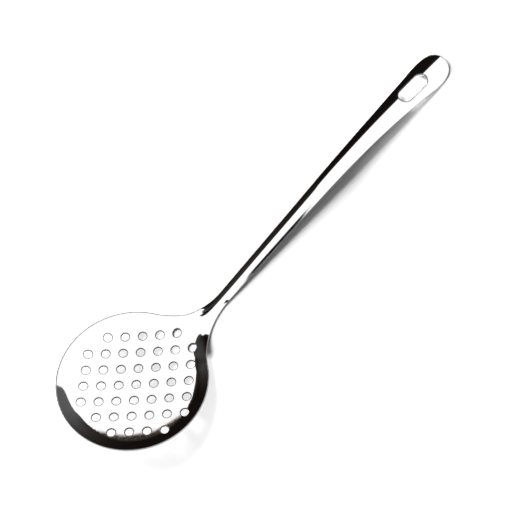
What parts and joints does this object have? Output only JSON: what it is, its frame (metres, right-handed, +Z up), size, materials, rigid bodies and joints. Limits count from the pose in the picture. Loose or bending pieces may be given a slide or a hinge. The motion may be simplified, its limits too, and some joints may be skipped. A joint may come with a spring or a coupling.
{
  "type": "skimmer",
  "caption": "Perforated kitchen skimmer pressed from sheet steel: a round dished bowl on a long crowned handle with a hanging slot.",
  "frame": {"origin": "middle of the bounding box seen from above, on the table that the skimmer lies on", "axes": "+X along the handle towards its tip, +Y across, +Z up from the table"},
  "size_m": [0.3799, 0.1112, 0.0387],
  "materials": {
    "mirror_steel": "mirror-polished stainless steel"
  },
  "bodies": {
    "root": {"skimmer": "mirror_steel"}
  },
  "joints": []
}
